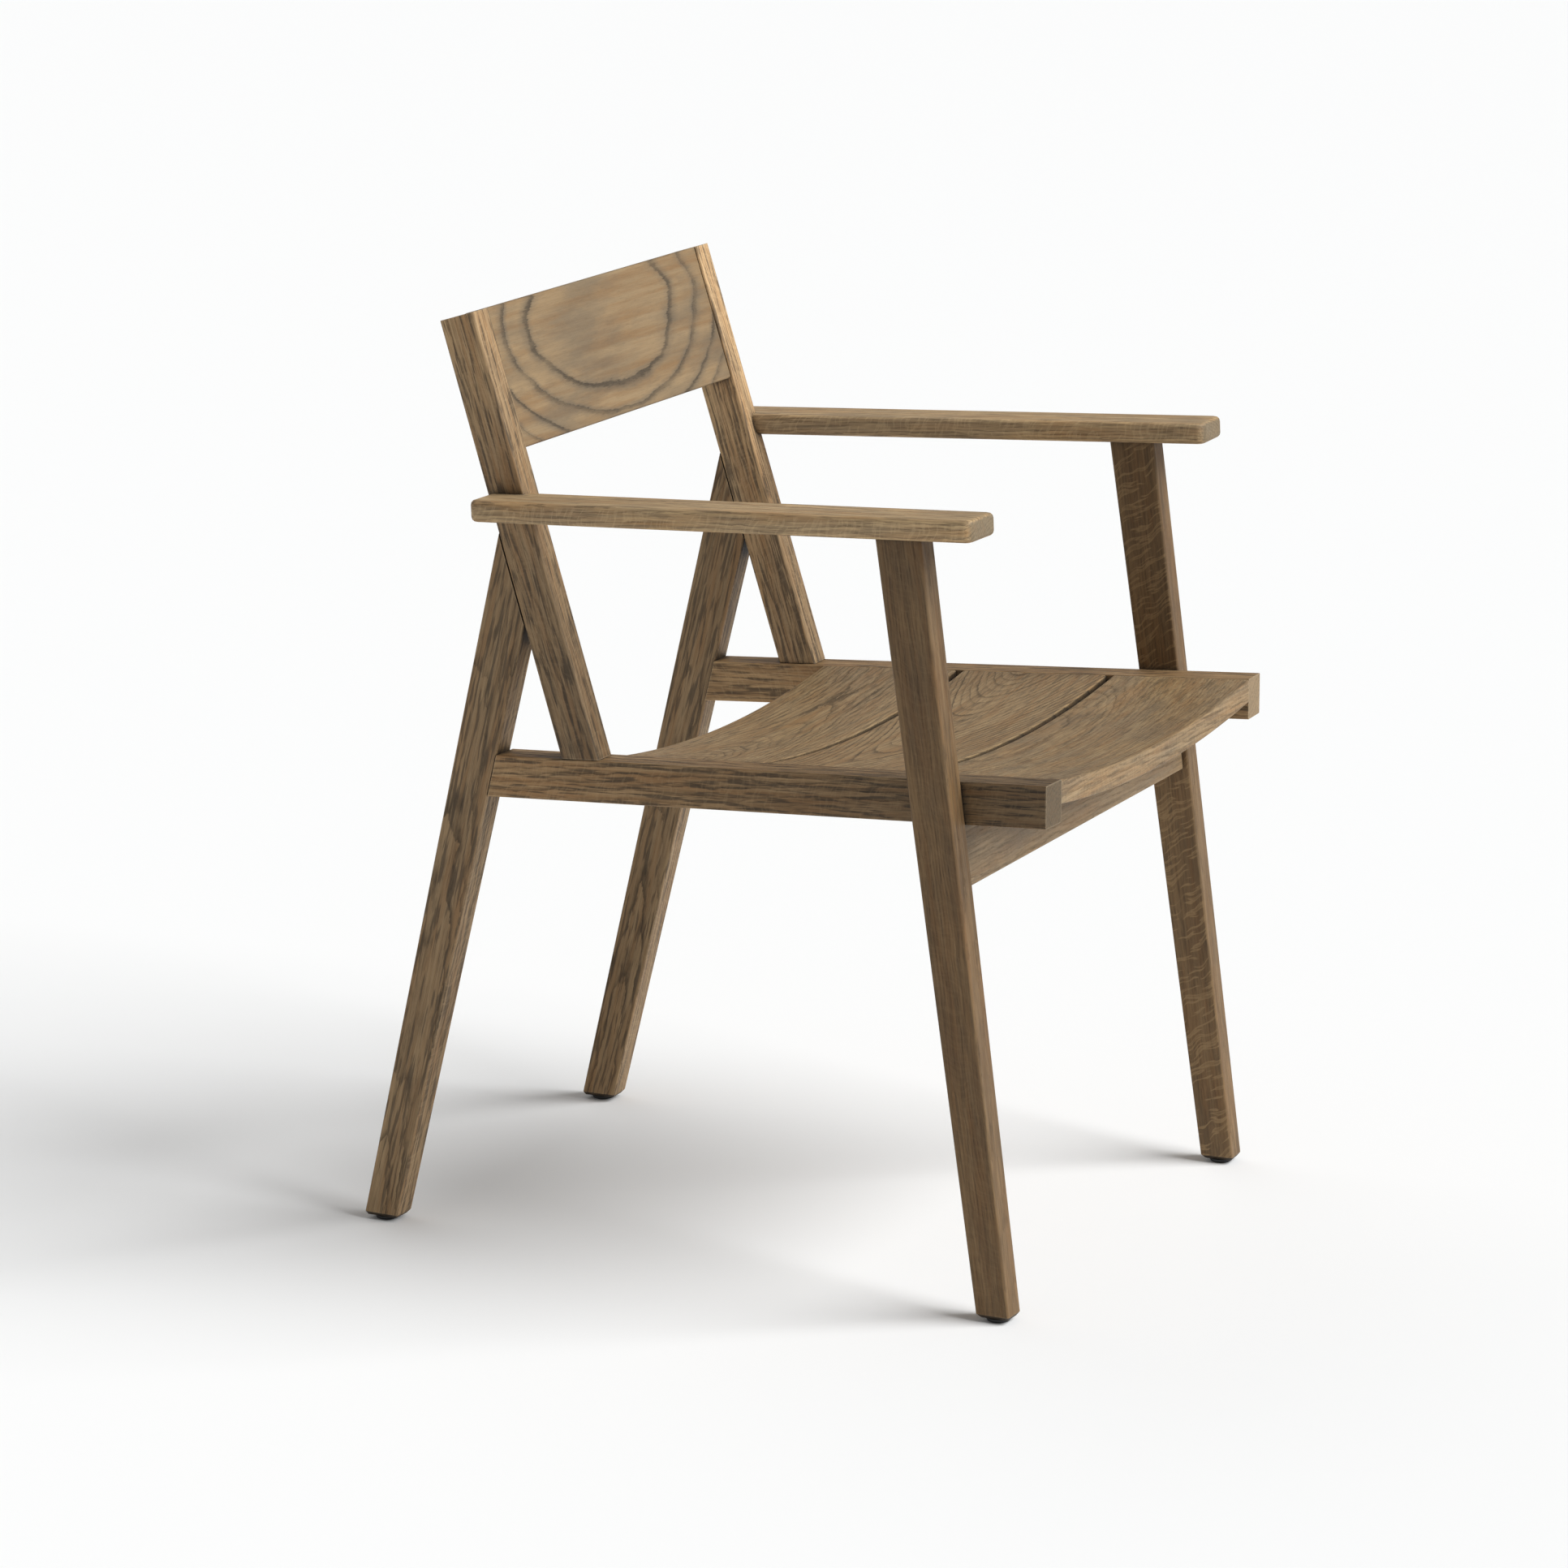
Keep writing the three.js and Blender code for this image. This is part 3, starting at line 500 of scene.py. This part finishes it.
# The back board is sawn just under the bark side of a swelling, so its rings close into ovals.
OVAL_ACROSS = 132.0               # half width and half height of the first oval, in millimetres
OVAL_UP = 59.0
OVAL_DEPTH = 12.0                 # how far the first ring bulges out of the face
BOARD_RING = 10.2
EYE_TO_SIDE = -0.003              # middle of the ovals, from the middle of the board's front face
EYE_UP = 0.027
BOARD_HALF_THICKNESS = 0.011
board_front = faces_front(POST_LEAN)
board_up = Vector((0.0, math.sin(POST_LEAN), math.cos(POST_LEAN)))
rings_inside = round(OVAL_UP ** 2 / (2 * OVAL_DEPTH * BOARD_RING) + OVAL_DEPTH / BOARD_RING)
oval_eye = middle("backrest_board") + ACROSS * EYE_TO_SIDE + board_up * EYE_UP
dress("backrest_board", wood(
    "backrest_board", ACROSS, board_front, oval_eye + board_front * BOARD_HALF_THICKNESS,
    tint=(0.84, 0.785, 0.70), pith=rings_inside * BOARD_RING - OVAL_DEPTH, ring=BOARD_RING,
    taper=0.0, bow=OVAL_DEPTH / OVAL_ACROSS ** 2, wave=0.5, teeth=0.5, thin=1.0, lines=0.8,
    streaks=0.14, stains=0.06, clouds=0.5, tone=0.25, seed=0.0,
))

# ---------------------------------------------------------------- pegs and glides
PEGS = ("tenon_", "dowel_")
glide_plastic = plastic()
for name in nodes:
    if name.startswith(PEGS):
        low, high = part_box(name)
        long_way = max(range(3), key=lambda axis: high[axis] - low[axis])
        grain = Vector([1.0 if axis == long_way else 0.0 for axis in range(3)])
        radial = Vector([1.0 if axis == (long_way + 1) % 3 else 0.0 for axis in range(3)])
        dress(name, wood(name, grain, radial, middle(name), tone=0.1, lines=0.3, streaks=0.3, seed=seed))
        seed += PEG_SEED_STEP
    elif name.startswith("glide_"):
        dress(name, glide_plastic)

# ---------------------------------------------------------------- eased edges
SHARP = math.radians(38)
EDGE_WIDTH = 0.0006
PEG_EDGE_WIDTH = 0.0004
WELD_DISTANCE = 1e-5


def soften(name, width):
    """Joins the split corners of the imported mesh, eases its sharp edges and shades it smooth."""
    piece = nodes[name]
    mesh = piece.data
    if "custom_normal" in mesh.attributes:
        mesh.attributes.remove(mesh.attributes["custom_normal"])
    for polygon in mesh.polygons:
        polygon.use_smooth = True
    weld = piece.modifiers.new("join_corners", "WELD")
    weld.merge_threshold = WELD_DISTANCE
    bevel = piece.modifiers.new("ease_edges", "BEVEL")
    bevel.limit_method = "ANGLE"
    bevel.angle_limit = SHARP
    bevel.width = width
    bevel.segments = 2
    bevel.use_clamp_overlap = True
    even = piece.modifiers.new("even_shading", "WEIGHTED_NORMAL")
    even.weight = 100
    even.keep_sharp = False


for name in nodes:
    soften(name, PEG_EDGE_WIDTH if name.startswith(PEGS) else EDGE_WIDTH)

# ---------------------------------------------------------------- floor and light
FLOOR_SIZE = 60.0
SKY = 0.22
bpy.ops.mesh.primitive_plane_add(size=FLOOR_SIZE, location=(0.0, 0.0, 0.0))
floor = bpy.context.object
floor.name = "floor"
paper, _, paper_shader = new_material("floor_paper")
paper_shader.inputs["Base Color"].default_value = (0.92, 0.915, 0.905, 1.0)
paper_shader.inputs["Roughness"].default_value = 0.9
paper_shader.inputs["Specular IOR Level"].default_value = 0.1
floor.data.materials.append(paper)

world = bpy.data.worlds.new("studio")
world.use_nodes = True
background = world.node_tree.nodes["Background"]
background.inputs["Color"].default_value = (1.0, 1.0, 1.0, 1.0)
background.inputs["Strength"].default_value = SKY
bpy.context.scene.world = world


def soft_sun(name, direction, strength, spread, color):
    """Light from far away; spread is how wide it looks from the chair, in degrees."""
    light = bpy.data.lights.new(name, "SUN")
    light.energy = strength
    light.angle = math.radians(spread)
    light.color = color
    lamp = bpy.data.objects.new(name, light)
    lamp.rotation_euler = (-Vector(direction)).to_track_quat("-Z", "Y").to_euler()
    bpy.context.scene.collection.objects.link(lamp)


soft_sun("window", direction=(0.12, -0.73, 0.66), strength=3.8, spread=46.0, color=(0.97, 0.985, 1.0))
soft_sun("rear_fill", direction=(0.45, 0.75, 0.50), strength=0.45, spread=60.0, color=(1.0, 0.99, 0.97))

# ---------------------------------------------------------------- camera
EYE = Vector((-4.7697, -2.1800, 1.5766))
AIM = Vector((-0.0598, -0.0028, 0.3844))
SENSOR = 36.0                     # millimetres
LENS = 142.75
FAR = 200.0
camera_data = bpy.data.cameras.new("camera")
camera_data.sensor_width = SENSOR
camera_data.lens = LENS
camera_data.clip_end = FAR
camera = bpy.data.objects.new("camera", camera_data)
camera.location = EYE
camera.rotation_euler = (AIM - EYE).to_track_quat("-Z", "Y").to_euler()
bpy.context.scene.collection.objects.link(camera)
bpy.context.scene.camera = camera
bpy.context.scene.view_settings.view_transform = "Standard"

bpy.context.view_layer.update()
